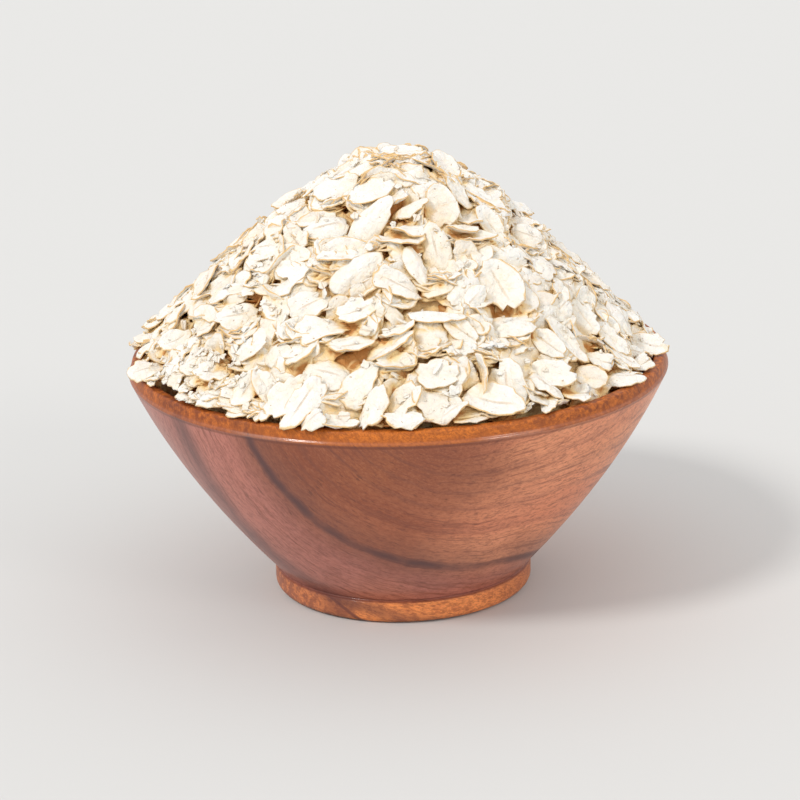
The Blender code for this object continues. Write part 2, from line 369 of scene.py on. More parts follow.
def turn_up(name, sides, outline):
    """A closed turned piece: a disc whose edge is extruded and scaled along an outline."""
    start_piece()
    radius, height = outline[0]
    bpy.ops.mesh.primitive_circle_add(vertices=sides, radius=radius, fill_type="NGON", location=(0, 0, 0))
    piece = bpy.context.object
    piece.name = name
    bpy.ops.object.mode_set(mode="EDIT")
    bpy.ops.transform.translate(value=(0, 0, height))
    for (radius, height), (next_radius, next_height) in zip(outline, outline[1:]):
        bpy.ops.mesh.extrude_region_move(TRANSFORM_OT_translate={"value": (0, 0, next_height - height)})
        grow = next_radius / radius
        bpy.ops.transform.resize(value=(grow, grow, 1.0), center_override=(0, 0, 0))
    bpy.ops.object.mode_set(mode="OBJECT")
    # The extrusion drags the first disc along, so the start is closed again.
    shape = bmesh.new()
    shape.from_mesh(piece.data)
    bmesh.ops.contextual_create(shape, geom=[edge for edge in shape.edges if edge.is_boundary])
    bmesh.ops.recalc_face_normals(shape, faces=shape.faces)
    shape.to_mesh(piece.data)
    shape.free()
    start_piece()
    piece.select_set(True)
    bpy.context.view_layer.objects.active = piece
    bpy.ops.object.shade_smooth_by_angle(angle=math.radians(40))
    return piece


bowl = turn_up("turned_bowl", BOWL_SIDES, bowl_outline())
print("bowl:", len(bowl.data.polygons), "faces, box", [round(v / MM, 2) for v in bowl.dimensions])

# %% [markdown]
# ## The wood
#
# The bowl was cut so that the tree's core ran from front to back above the rim, a little to the
# right. The growth rings are tubes round that line, and the wall cuts them in hanging arcs. A flat
# pattern wrapped round the wall would show a seam and couldn't follow the arcs. So the patterns are
# made of each point's place in the block of wood: its distance from the core line, and noises drawn
# out along the rings as fine lines, dashes and flecks.

# %% Wood grain
CORE_LINE = Vector((12.3, -45.0, 63.2)) * MM
CORE_SLOPE = -0.335  # the line falls this much towards the back
EASED_FROM = 10.0 * MM  # further right of the line than this, the arcs are drawn out
ALONG_RING = 45.0 * MM  # length along a ring for one radian


def wood_grain(tree):
    """The places and the patterns in the wood."""
    place = add_node(tree, "ShaderNodeTexCoord").outputs["Object"]
    right, back, height = add_node(tree, "ShaderNodeSeparateXYZ", None, Vector=place).outputs
    from_x = maths(tree, "SUBTRACT", right, CORE_LINE.x)
    far_right = maths(tree, "MAXIMUM", maths(tree, "SUBTRACT", from_x, EASED_FROM), 0.0)
    from_x = maths(tree, "MULTIPLY_ADD", far_right, -0.5, from_x)
    drop = times(tree, maths(tree, "SUBTRACT", back, CORE_LINE.y), CORE_SLOPE)
    from_z = maths(tree, "SUBTRACT", maths(tree, "SUBTRACT", height, CORE_LINE.z), drop)
    stretch = vector_maths(tree, "MULTIPLY", as_place(tree, from_x, back, from_z), (1, 0.35, 1))
    wave = centred(tree, noise_of(tree, stretch, 38, 3.0, 0.45))
    ripple = centred(tree, noise_of(tree, stretch, 190, 3.0, 0.6))
    squares = (times(tree, side, side) for side in (from_x, from_z))
    away = maths(tree, "SQRT", maths(tree, "ADD", *squares))
    away = maths(tree, "MULTIPLY_ADD", wave, 2.6 * MM, away)
    away = maths(tree, "MULTIPLY_ADD", ripple, 0.9 * MM, away)
    along = times(tree, maths(tree, "ARCTAN2", from_z, from_x), ALONG_RING)
    lines, dashes, flecks = (
        as_place(tree, away, times(tree, along, share), times(tree, back, back_share))
        for share, back_share in ((0.03, 0.03), (0.1, 0.25), (0.3, 0.5))
    )
    return SimpleNamespace(
        right=right,
        height=height,
        away=away,
        wave=wave,
        hue=noise_of(tree, lines, 130, 3.0, 0.6),
        fine=noise_of(tree, lines, 1900, 4.0, 0.7),
        dash=noise_of(tree, dashes, 2200, 4.0, 0.7),
        pores=noise_of(tree, dashes, 3000, 1.0, 0.5),
        grit=noise_of(tree, flecks, 2300, 4.0, 0.75),
        mottle=noise_of(tree, stretch, 120, 4.0, 0.65),
        patch=noise_of(tree, stretch, 26, 2.0, 0.5),
        broken=noise_of(tree, stretch, 70, 3.0, 0.6),
        spots=noise_of(tree, place, 420, 4.0, 0.7),
        rim_spots=noise_of(tree, place, 760, 4.0, 0.7),
    )


# %% [markdown]
# ## The wall's colours
#
# Over the wall the hue changes slowly: brown at the left, salmon at the right, mauve low down, which
# is partly the wood's own hue and partly painted sheen, and a darker brown under the rim at the left.
# Fine rings, dashes and flecks lie over that as thin dark glazes. Two dark mineral streaks and a few
# faint ones keep a fixed distance from the core line, so a short table of distances draws them all.

# %% Wall colours
# Distance of each dark streak from the core line and its half width, in mm, and its strength.
STREAKS = (
    (57.4, 1.4, 0.64),
    (44.7, 1.0, 0.95),
    (44.2, 3.4, 0.44),
    (48.6, 0.7, 0.14),
    (31.7, 0.35, 0.22),
    (28.1, 0.3, 0.22),
    (36.6, 0.4, 0.18),
    (40.5, 0.3, 0.14),
    (24.4, 0.35, 0.2),
)


def wall_colour(tree, wood):
    """The wall's hues, and the rings, dashes and flecks over them."""
    brown, salmon, mauve = (
        mix_colours(tree, remap(tree, wood.hue, 0.36, 0.66), dark, light)
        for dark, light in (
            ((0.315, 0.084, 0.037), (0.435, 0.139, 0.064)),
            ((0.70, 0.242, 0.122), (0.80, 0.318, 0.158)),
            ((0.425, 0.155, 0.122), (0.53, 0.194, 0.15)),
        )
    )
    zone = maths(tree, "MULTIPLY_ADD", wood.wave, 30.0 * MM, wood.right)
    colour = mix_colours(tree, remap(tree, zone, -2.0 * MM, 20.0 * MM), brown, salmon)
    # Mauve low down: partly the wood's own hue, partly painted sheen of the pale floor.
    colour = lay_over(tree, colour, [(wood.away, 43.0 * MM, 50.0 * MM, 0.85, mauve)])
    under_rim = times(
        tree,
        remap(tree, wood.height, 26.0 * MM, 44.0 * MM),
        remap(tree, zone, 26.0 * MM, 8.0 * MM),
        remap(tree, wood.away, 46.0 * MM, 40.0 * MM, 0.0, 0.7),
    )
    colour = mix_colours(tree, under_rim, colour, (0.245, 0.066, 0.029))
    glazes = (
        (wood.patch, 0.46, 0.7, 0.4, (0.56, 0.19, 0.065)),
        (wood.mottle, 0.48, 0.72, 0.22, (0.20, 0.055, 0.028)),
        (wood.grit, 0.46, 0.66, 0.4, (0.19, 0.05, 0.03)),
        (wood.grit, 0.5, 0.32, 0.1, (0.82, 0.36, 0.2)),
        (wood.fine, 0.5, 0.68, 0.6, (0.2, 0.058, 0.034)),
        (wood.dash, 0.52, 0.68, 0.45, (0.165, 0.048, 0.03)),
    )
    return lay_over(tree, colour, glazes)


def streak_share(tree, wood, band):
    """How dark the streaks are: soft on both sides, broken along the way, weaker on the rim band."""
    dark = 0.0
    for radius, width, strength in STREAKS:
        off = far_from(tree, wood.away, radius * MM)
        line = remap(tree, off, 0.1 * width * MM, 1.9 * width * MM, strength, 0.0)
        dark = maths(tree, "MAXIMUM", dark, line)
    on_wall = maths(tree, "SUBTRACT", 1.0, times(tree, band, 0.6))
    return times(tree, dark, remap(tree, wood.broken, 0.3, 0.62, 0.55, 1.0), on_wall)


# %% [markdown]
# ## The rim band and the foot
#
# Both stand out from the wall in a stronger, mottled orange. The band is darker along its lower edge,
# and darker towards the sides as painted shade where it turns away from the front. The foot is dull
# at its right end, blotched at the left, and has a soft stain and a thin dark line that slants over
# it. Painted shade lies as dark lines in the groove over the foot and under the bead. They could be
# pieces of their own, but they are the same wood, so a point's height decides which colour it gets.

# %% Rim and foot colours
BAND_MIDDLE = -4.0 * MM
GROOVE_HEIGHT = 4.95 * MM
STAIN_PLACE, SLANT_PLACE = -15.0 * MM, -8.7 * MM


def rim_colour(tree, wood):
    """The rim band: brightest in the middle of the front, with painted shade towards the sides."""
    spots = remap(tree, wood.rim_spots, 0.38, 0.62)
    brown = mix_colours(tree, spots, (0.52, 0.14, 0.018), (0.2, 0.048, 0.013))
    # Painted shade: the band darkens towards the sides, where it turns away from the front.
    painted_side_shade = remap(tree, far_from(tree, wood.right, BAND_MIDDLE), 8.0 * MM, 40.0 * MM, 0.5, 1.0)
    glazes = (
        (wood.grit, 0.44, 0.6, 0.55, (0.2, 0.045, 0.01)),
        (wood.height, EDGE_HEIGHT + 1.6 * MM, EDGE_HEIGHT + 0.4 * MM, 0.5, (0.3, 0.075, 0.018)),
    )
    return lay_over(tree, mix_colours(tree, painted_side_shade, (0.72, 0.21, 0.03), brown), glazes)


def foot_colour(tree, wood):
    """The foot: mottled, dull at the right end, blotched at the left."""
    glazes = (
        (wood.spots, 0.42, 0.7, 0.6, (0.46, 0.13, 0.046)),
        (wood.grit, 0.44, 0.6, 0.55, (0.22, 0.06, 0.03)),
        (wood.right, 15.0 * MM, 25.0 * MM, 0.5, (0.3, 0.09, 0.04)),
        (wood.right, -8.0 * MM, -16.0 * MM, 0.55, (0.36, 0.12, 0.058)),
    )
    colour = lay_over(tree, (0.95, 0.325, 0.09), glazes)
    left = remap(tree, wood.right, -8.0 * MM, -16.0 * MM, 0.0, 0.55)
    blotches = times(tree, left, remap(tree, wood.spots, 0.42, 0.56, 0.0, 1.2))
    return mix_colours(tree, blotches, colour, (0.2, 0.065, 0.04))


def foot_marks(tree, wood, foot):
    """How dark the stain and the slanting line on the foot are."""
    stain = maths(tree, "MULTIPLY_ADD", wood.wave, 22.0 * MM, wood.right)
    stain = remap(tree, far_from(tree, stain, STAIN_PLACE), 1.5 * MM, 7.0 * MM, 0.5, 0.0)
    slant = maths(tree, "MULTIPLY_ADD", wood.height, 1.45, wood.right)
    slant = remap(tree, far_from(tree, slant, SLANT_PLACE), 0.3 * MM, 1.2 * MM, 0.9, 0.0)
    return times(tree, maths(tree, "MAXIMUM", stain, slant), foot)


# %% [markdown]
# ## The wood's finish
#
# The bowl is oiled or lacquered. A thin clear coat over a fairly rough wood gives the soft grey
# sheen of the wall. The band has hardly any, but the crisp bead under it is polished by handling
# and glints at two places. A bump pattern of pores and dashes is enough for the surface: the pores
# are far too fine to be modelled.

# %% Wood material
GLINT_PLACES = (22.0 * MM, -26.0 * MM)


def coat_weight(tree, wood):
    """How much clear coat there is: the wall, the band, the glints on the bead, the foot."""
    gloss = remap(tree, wood.height, EDGE_HEIGHT + 0.4 * MM, EDGE_HEIGHT + 0.8 * MM, 0.28, 0.04)
    near = maths(tree, "MINIMUM", *(far_from(tree, wood.right, place) for place in GLINT_PLACES))
    bead = far_from(tree, wood.height, EDGE_HEIGHT + 0.15 * MM)
    bead = remap(tree, bead, 0.25 * MM, 0.45 * MM, 1.0, 0.0)
    glint = times(tree, remap(tree, near, 3.0 * MM, 9.0 * MM, 0.9, 0.08), bead)
    foot = remap(tree, wood.height, 4.6 * MM, 8.0 * MM, 0.35, 1.0)
    return times(tree, maths(tree, "ADD", gloss, glint), foot)


def wood_material():
    material, tree, shader = new_shader("turned_wood")
    wood = wood_grain(tree)
    band = remap(tree, wood.height, EDGE_HEIGHT - 0.3 * MM, EDGE_HEIGHT)
    foot = remap(tree, wood.height, 4.9 * MM, 4.5 * MM)
    colour = wall_colour(tree, wood)
    colour = mix_colours(tree, times(tree, band, 0.92), colour, rim_colour(tree, wood))
    colour = mix_colours(tree, times(tree, foot, 0.85), colour, foot_colour(tree, wood))
    colour = mix_colours(tree, foot_marks(tree, wood, foot), colour, (0.16, 0.055, 0.04))
    # Painted shade: dark lines just under the bead and in the groove over the foot.
    under_edge = far_from(tree, wood.height, EDGE_HEIGHT - 0.5 * MM)
    groove = far_from(tree, wood.height, GROOVE_HEIGHT)
    painted_shade_lines = (
        (under_edge, 0.5 * MM, 0.1 * MM, 0.6, (0.17, 0.045, 0.02)),
        (groove, 0.6 * MM, 0.15 * MM, 0.6, (0.17, 0.045, 0.025)),
    )
    colour = lay_over(tree, colour, painted_shade_lines)
    colour = mix_colours(tree, streak_share(tree, wood, band), colour, (0.098, 0.04, 0.039))
    pore = remap(tree, wood.pores, 0.66, 0.76, 0.0, 0.45)
    colour = mix_colours(tree, pore, colour, (0.09, 0.03, 0.02))
    tree.links.new(colour, shader.inputs["Base Color"])
    relief = maths(tree, "MULTIPLY_ADD", pore, -0.6, times(tree, wood.dash, 0.5))
    add_relief(tree, shader, relief, 0.2, 0.2 * MM)
    set_values(shader, Roughness=0.45, Specular_IOR_Level=0.15, Coat_Roughness=0.13, Coat_IOR=1.8)
    tree.links.new(coat_weight(tree, wood), shader.inputs["Coat Weight"])
    print("wood:", len(tree.nodes), "nodes")
    return material


bowl.data.materials.append(wood_material())
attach(bowl, "root")
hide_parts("bowl")

# %% [markdown]
# ## One flake of each kind
#
# A rolled oat is a steamed grain pressed flat: an uneven oval, thick in the middle and thin and
# ragged at its edge, slightly cupped, with the grain's crease along it. Each kind is modelled at
# its true size in three versions: a disc is added, inset a few times and poked so that it can bend,
# and then its points are moved by a few plain rules. Solidify gives it its thickness.

# %% Flake shapes
FLAKE_POINTS = 24
FLAKE_THICKNESS = 0.75 * MM
VERSIONS = 3
EDGE_THINNING = 0.68
FLAKE_KINDS = {
    # name: length, width, cup, cross cup, crease, twist, narrow end, ragged, notches, broken off
    "broad": (9.8, 7.4, 0.35, 0.5, 0.25, 0.3, 0.14, 0.09, 3, 0.0),
    "long": (11.0, 6.2, 0.55, 0.7, 0.30, 0.3, 0.22, 0.045, 1, 0.0),
    "cupped": (9.6, 6.9, 1.0, 1.5, 0.15, 0.3, 0.16, 0.075, 3, 0.0),
    "wavy": (10.2, 7.2, 0.4, -0.6, 0.2, 1.4, 0.16, 0.11, 4, 0.0),
    "split": (9.8, 7.0, 0.6, 0.6, 0.25, 0.5, 0.10, 0.10, 5, 0.0),
    "small": (7.0, 5.0, 0.4, 0.4, 0.25, 0.2, 0.18, 0.06, 1, 0.0),
    "half": (9.8, 7.0, 0.4, 0.5, 0.25, 0.3, 0.10, 0.06, 1, 0.42),
    "strip": (8.6, 3.4, 0.6, 0.3, 0.05, 0.6, 0.25, 0.08, 1, 0.0),
}


def wobble(angle, seed, waves):
    """A smooth random value round a closed outline."""
    return noise.noise(Vector((math.cos(angle) * waves, math.sin(angle) * waves, seed * 7.3)))


def model_flake(name, kind, seed):
    """One flake, lying flat at the origin with its length along X."""
    length, width, cup, cross, crease, twist, narrow, ragged, notches, broken = kind
    start_piece()
    bpy.ops.mesh.primitive_circle_add(
        vertices=FLAKE_POINTS, radius=0.5, fill_type="NGON", location=(0, 0, 0)
    )
    flake = bpy.context.object
    flake.name = name
    bpy.ops.object.mode_set(mode="EDIT")
    for step in (0.04, 0.13, 0.14):
        bpy.ops.mesh.inset(thickness=step, depth=0.0)
    bpy.ops.mesh.poke()
    bpy.ops.object.mode_set(mode="OBJECT")

    draw = np.random.default_rng(seed)
    cuts = [(draw.uniform(0, math.tau), draw.uniform(0.10, 0.26)) for cut in range(notches)]
    thick = flake.vertex_groups.new(name="thick")
    for vert in flake.data.vertices:
        x, y = vert.co.x, vert.co.y
        angle = math.atan2(y, x)
        out = min(2.0 * math.hypot(x, y), 1.0)
        edge = out**4
        scale = 1.0 + 0.13 * wobble(angle, seed, 0.9) + ragged * 1.8 * edge * wobble(angle, seed + 5, 4.0)
        for place, depth in cuts:
            away = (angle - place + math.pi) % math.tau - math.pi
            scale -= depth * out**3 * math.exp(-((away / 0.14) ** 2))
        x *= scale
        y *= scale * (1.0 - narrow * 2.0 * x)
        if broken and x > broken - 0.25:
            x = broken - 0.25 + 0.08 * noise.noise(Vector((y * 9.0, seed, 3.0)))
        lift = cup * 4.0 * x * x + cross * 4.0 * y * y + twist * 4.0 * x * y
        lift -= crease * math.exp(-((y / 0.07) ** 2)) * (1.0 - 0.6 * out)
        lift += 0.5 * noise.noise(Vector((x * 4.5, y * 4.5, seed * 3.1)))
        lift += 0.5 * edge * wobble(angle, seed + 9, 2.8)
        vert.co = Vector((x * length, y * width, lift)) * MM
        thick.add([vert.index], 1.0 - EDGE_THINNING * out**3, "REPLACE")
    solid = flake.modifiers.new("thickness", "SOLIDIFY")
    solid.thickness = FLAKE_THICKNESS
    solid.offset = 0.0
    solid.vertex_group = "thick"
    bpy.ops.object.modifier_apply(modifier=solid.name)
    return flake


def mesh_arrays(piece):
    """A small mesh as arrays: points, faces' corners, corner counts, and how near the edge."""
    mesh = piece.data
    points = np.empty(len(mesh.vertices) * 3, np.float32)
    mesh.vertices.foreach_get("co", points)
    corners = np.empty(len(mesh.loops), np.int32)
    mesh.loops.foreach_get("vertex_index", corners)
    counts = np.empty(len(mesh.polygons), np.int32)
    mesh.polygons.foreach_get("loop_total", counts)
    rim = np.zeros(len(mesh.vertices), np.float32)
    if piece.vertex_groups:
        for vert in mesh.vertices:
            if vert.groups:
                rim[vert.index] = (1.0 - vert.groups[0].weight) / EDGE_THINNING
    return points.reshape(-1, 3), corners, counts, rim


def dense_points(points, corners, counts, spacing):
    """Points spread over a mesh's faces at about one spacing, to feel what the flake touches."""
    spread = [points]
    start = 0
    for count in counts:
        face = points[corners[start : start + count]]
        start += count
        if count > 4:
            continue
        steps = max(1, math.ceil(max(np.ptp(face, axis=0)) / spacing))
        last = face[3] if count == 4 else face[0]
        for near in range(1, steps):
            for far in range(1, steps):
                u, v = near / steps, far / steps
                low = (1 - u) * face[0] + u * face[1]
                high = (1 - u) * last + u * face[2]
                spread.append(((1 - v) * low + v * high)[None])
    return np.concatenate(spread)


Model = namedtuple("Model", "points corners counts rim feel")
FEEL_SPACING = 0.7 * MM
flake_models = {}
for order, (name, kind) in enumerate(FLAKE_KINDS.items()):
    for version in range(VERSIONS):
        flake = model_flake(f"model_{name}_{version}", kind, 10 * order + version + 1)
        arrays = mesh_arrays(flake)
        flake_models[name, version] = Model(*arrays, dense_points(*arrays[:3], FEEL_SPACING))
        bpy.data.objects.remove(flake)
faces = [len(model.counts) for model in flake_models.values()]
print("flake models:", len(flake_models), "with", min(faces), "to", max(faces), "faces")

# %% [markdown]
# ## The heap's shape
#
# Thousands of flakes fell into the bowl one after another, and each came to rest on those below it.
# A rigid body simulation could drop them, but it wouldn't end in this heap's shape. So the fall is
# worked out in a simpler way, on a height map of what lies there already. The heap's outline falls
# more evenly on the left and is rounder on the right. It is lumpy, and in a few places flakes have
# slid away and left a deep gap.

# %% Heap outline
HEAP_TOP = 93.2 * MM
LEFT_SLOPE, LEFT_BLUNT = 1.0, 17.5 * MM
RIGHT_SLOPE, RIGHT_BLUNT = 1.2, 24.0 * MM
CELL = 0.4 * MM
REACH = 64.0 * MM
CELLS = int(2 * REACH / CELL)
INNER_RIM = RIM_RADIUS - WALL_AT_RIM
ON_RIM = RIM_HEIGHT + 0.2 * MM  # the lowest that a flake may lie on the rim
START_DEPTH = 5.2 * MM


def heap_height(x, y):
    """Height of the heap's outside over a place, or over arrays of places."""
    reach = np.hypot(x, y)
    right = 0.5 + 0.5 * x / np.maximum(reach, MM)
    left_fall = LEFT_SLOPE * (np.hypot(reach, LEFT_BLUNT) - LEFT_BLUNT)
    right_fall = RIGHT_SLOPE * (np.hypot(reach, RIGHT_BLUNT) - RIGHT_BLUNT)
    return HEAP_TOP - (1.0 - right) * left_fall - right * right_fall


def cell_of(points):
    """The height map's row and column under points."""
    index = ((points[..., :2] + REACH) / CELL).astype(int)
    return np.clip(index[..., 1], 0, CELLS - 1), np.clip(index[..., 0], 0, CELLS - 1)


def on_heap(right, down):
    """The place on the heap's outline that a pixel shows."""
    travel = np.arange(430 * MM, 620 * MM, 0.2 * MM)
    points = CAMERA_SPOT + travel[:, None] * pixel_ray(right, down)
    above = points[:, 2] - heap_height(points[:, 0], points[:, 1])
    inside = np.flatnonzero(above < 0)
    return points[inside[0] if len(inside) else above.argmin()]


axis = (np.arange(CELLS) + 0.5) * CELL - REACH
grid_x, grid_y = np.meshgrid(axis, axis)
grid_reach = np.hypot(grid_x, grid_y)
target = heap_height(grid_x, grid_y)
lumps = np.zeros_like(target)
draw = np.random.default_rng(21)
for size, height in ((15.0, 0.6), (9.0, 0.75), (6.0, 0.5)):
    for wave in range(9):
        turn, phase = draw.uniform(0, math.tau, 2)
        step = math.tau / (size * MM * draw.uniform(0.8, 1.25))
        across = math.cos(turn) * grid_x + math.sin(turn) * grid_y
        lumps += height * MM / 3 * np.sin(step * across + phase)

# Gaps in the heap: pixel, radius and depth in mm.
HOLLOWS = (
    (469, 399, 3.6, 6.0),
    (495, 425, 4.5, 4.0),
    (386, 247, 2.4, 5.0),
    (412, 352, 2.2, 4.5),
    (308, 281, 2.0, 3.5),
    (240, 353, 1.8, 3.5),
    (283, 348, 1.8, 4.5),
    (232, 392, 2.2, 4.5),
    (610, 379, 2.2, 5.0),
    (508, 346, 2.6, 5.0),
    (535, 388, 2.4, 4.0),
    (376, 302, 1.8, 3.5),
    (427, 293, 1.6, 3.0),
    (570, 338, 1.6, 3.0),
    (250, 428, 3.0, 3.0),
    (610, 400, 4.0, 3.0),
    (513, 206, 3.4, 3.0),
    (283, 213, 3.4, 2.6),
    (606, 297, 4.0, 1.6),
    (464, 385, 2.2, 4.0),
    (362, 355, 1.8, 3.5),
    (145, 355, 4.2, 5.5),
    (205, 348, 1.8, 4.0),
    (262, 320, 1.8, 4.0),
    (268, 372, 1.8, 4.0),
    (190, 310, 2.2, 3.5),
    (592, 352, 1.8, 4.0),
    (540, 318, 1.6, 3.5),
    (562, 362, 1.6, 3.5),
    (556, 283, 1.8, 3.5),
)
wanted = target + lumps - 0.7 * MM
for right, down, radius, depth in HOLLOWS:
    spot = on_heap(right, down)
    near = np.hypot(grid_x - spot[0], grid_y - spot[1]) / (radius * MM)
    wanted -= depth * MM * np.exp(-(near**2))
ground = np.maximum(np.minimum(target - START_DEPTH, wanted - 2.0 * MM), RIM_HEIGHT - 4.5 * MM)
ground[grid_reach > INNER_RIM - 0.2 * MM] = ON_RIM
ground[grid_reach > RIM_RADIUS - 0.3 * MM] = EDGE_HEIGHT - 12.0 * MM
wanted[grid_reach > 55.2 * MM] = 0.0
ceiling = np.full_like(ground, 1.0)
print("heap map:", CELLS, "by", CELLS, "cells")

# %% [markdown]
# ## Flakes that stand out
#
# Some flakes are so plain to see that they give the heap its face: the large one that faces front
# under the top, the two that stand at the rim, the ones that hang over it. They are placed first,
# each by the pixel of its middle, its length and width, the way its length points in the picture,
# and how far and which way it leans from facing the camera. The flakes that fall later are kept
# from covering them.

# %% Place the flakes that stand out
# Pixel, length and width in mm, turn and lean and which way it leans in degrees, kind, tone.
SHOWN = (
    (398, 153, 11.0, 7.0, 3, 66, 92, "broad", 0.1),
    (352, 170, 10.5, 7.0, 30, 62, 112, "wavy", 0.1),
    (447, 166, 8.5, 5.2, -55, 50, 60, "long", 0.4),
    (372, 192, 10.0, 6.5, 28, 40, 105, "broad", 0.0),
    (474, 238, 10.0, 5.6, 10, 68, 92, "long", 0.6),
    (462, 230, 7.2, 5.2, -6, 76, 84, "split", 0.7),
    (476, 220, 7.4, 5.2, 14, 64, 100, "half", 0.7),
    (402, 240, 10.0, 6.4, -8, 66, 92, "broad", 0.7),
    (408, 229, 8.0, 6.0, 4, 70, 86, "wavy", 0.2),
    (410, 207, 8.4, 5.2, 28, 60, 116, "long", 0.7),
    (401, 197, 7.6, 4.8, 34, 64, 122, "half", 0.3),
    (485, 199, 12.0, 5.2, -26, 66, 62, "long", 0.1),
    (458, 193, 9.0, 4.2, -53, 48, 40, "strip", 0.3),
    (491, 226, 9.8, 5.2, -56, 34, 45, "long", 0.2),
    (372, 219, 12.6, 6.4, 53, 26, 120, "long", 0.0),
    (357, 272, 12.8, 7.0, 42, 22, 100, "long", 0.0),
    (398, 286, 11.4, 6.0, -24, 38, 60, "wavy", 0.1),
    (401, 255, 7.4, 3.8, -58, 32, 60, "small", 0.3),
    (417, 266, 9.6, 4.2, -72, 34, 60, "long", 0.3),
    (435, 246, 11.0, 6.2, 103, 18, 90, "long", 0.75),
    (440, 206, 9.3, 7.7, 104, 10, 90, "broad", 0.0),
    (340, 257, 9.8, 5.2, 4, 64, 95, "long", 0.2),
    (437, 315, 12.0, 6.0, -8, 70, 88, "long", 0.4),
    (500, 286, 12.0, 8.6, 116, 22, 70, "cupped", 0.1),
    (392, 346, 10.8, 4.6, 36, 56, 122, "long", 0.2),
    (398, 331, 8.0, 4.2, 24, 64, 112, "strip", 0.4),
    (352, 346, 9.4, 5.4, 8, 58, 96, "long", 0.1),
    (336, 187, 10.4, 7.0, 24, 38, 108, "wavy", 0.05),
    (327, 227, 9.6, 7.0, 14, 38, 100, "split", 0.1),
    (322, 329, 11.6, 6.6, 4, 48, 96, "wavy", 0.05),
    (311, 305, 9.6, 6.8, 32, 34, 102, "wavy", 0.1),
    (356, 312, 8.8, 6.0, 24, 40, 100, "split", 0.1),
    (395, 366, 9.0, 5.4, 4, 58, 90, "cupped", 0.4),
    (431, 334, 7.6, 6.0, -8, 22, 90, "small", 0.0),
    (461, 331, 8.6, 4.8, -38, 26, 60, "small", 0.5),
    (361, 384, 11.4, 6.6, 64, 34, 130, "wavy", 0.0),
    (328, 374, 9.4, 7.0, -24, 34, 100, "split", 0.1),
    (437, 375, 9.2, 6.4, 4, 24, 85, "split", 0.0),
    (336, 425, 9.0, 4.8, -6, 62, 90, "long", 0.3),
    (434, 407, 9.8, 7.0, -40, 36, 70, "wavy", 0.8),
    (402, 404, 10.4, 6.0, 52, 40, 130, "split", 0.6),
    (373, 413, 9.4, 5.4, 70, 36, 140, "wavy", 0.0),
    (452, 419, 7.4, 2.6, 37, 40, 120, "strip", 0.2),
    (317, 434, 7.6, 4.8, 38, 44, 130, "half", 0.2),
    (403, 426, 8.0, 5.0, -14, 50, 90, "wavy", 0.3),
    (303, 415, 12.6, 6.6, 62, 30, 120, "wavy", 0.1),
    (284, 399, 10.4, 6.8, 66, 36, 120, "split", 0.0),
    (495, 403, 12.2, 8.6, -16, 40, 84, "cupped", 0.1),
    (483, 374, 9.0, 5.0, 96, 66, 188, "strip", 0.2),
    (507, 387, 12.0, 8.4, 94, 12, 90, "broad", 0.1),
    (554, 374, 9.4, 6.2, -12, 26, 80, "broad", 0.0),
    (548, 386, 8.6, 4.2, -34, 60, 52, "strip", 0.5),
    (592, 378, 6.8, 5.2, -10, 26, 80, "small", 0.8),
    (582, 394, 8.8, 5.2, 8, 54, 84, "half", 0.1),
    (549, 345, 8.4, 5.4, -38, 28, 60, "small", 0.5),
    (566, 341, 12.4, 4.8, -48, 50, 42, "long", 0.3),
    (624, 385, 9.2, 5.2, 3, 60, 88, "long", 0.2),
    (646, 371, 6.4, 4.2, 42, 38, 90, "half", 0.1),
    (649, 350, 8.6, 6.4, -20, 44, 80, "broad", 0.2),
    (518, 299, 9.4, 7.2, -14, 22, 80, "broad", 0.0),
    (512, 326, 9.6, 6.0, 0, 42, 88, "broad", 0.0),
    (527, 235, 7.0, 5.2, -14, 32, 60, "small", 0.6),
    (523, 220, 8.4, 5.6, -10, 72, 78, "broad", 0.3),
    (294, 204, 8.2, 5.4, 22, 66, 112, "long", 0.2),
    (564, 252, 11.5, 6.0, -37, 74, 54, "long", 0.7),
    (591, 281, 8.6, 6.0, -28, 72, 60, "broad", 0.8),
    (584, 318, 8.6, 6.2, -58, 34, 40, "wavy", 0.2),
    (612, 340, 9.4, 5.4, -44, 50, 48, "long", 0.2),
    (621, 357, 9.0, 4.6, -36, 62, 56, "strip", 0.5),
    (605, 363, 8.2, 5.4, -20, 52, 70, "half", 0.1),
    (147, 374, 7.8, 5.2, 24, 44, 100, "wavy", 0.1),
    (151, 336, 7.4, 5.0, 10, 72, 98, "small", 0.7),
    (176, 341, 7.6, 5.6, 34, 42, 112, "split", 0.1),
    (236, 316, 8.8, 6.4, 12, 36, 104, "wavy", 0.1),
    (268, 391, 9.8, 4.8, -62, 28, 70, "strip", 0.4),
    (248, 388, 9.0, 6.2, 66, 34, 112, "wavy", 0.1),
    (213, 372, 8.0, 6.0, 10, 44, 96, "split", 0.2),
)
Copy = namedtuple("Copy", "kind version size bend axes centre tone shown")
flakes = []
keep_clear = np.zeros((PICTURE, PICTURE))
EDGE_ROOM = 3  # pixels of each shown flake's edge that others may cover


def shaped(points, size, bend):
    """A flake model's points at one flake's own size and bend."""
    moved = points * size
    x, y = moved[:, 0], moved[:, 1]
    moved[:, 2] += bend[0] * x * x + bend[1] * y * y + bend[2] * x * y
    return moved


def posed(points, copy):
    """A model's points where one copy of it lies."""
    return shaped(points, copy.size, copy.bend) @ copy.axes.T + copy.centre


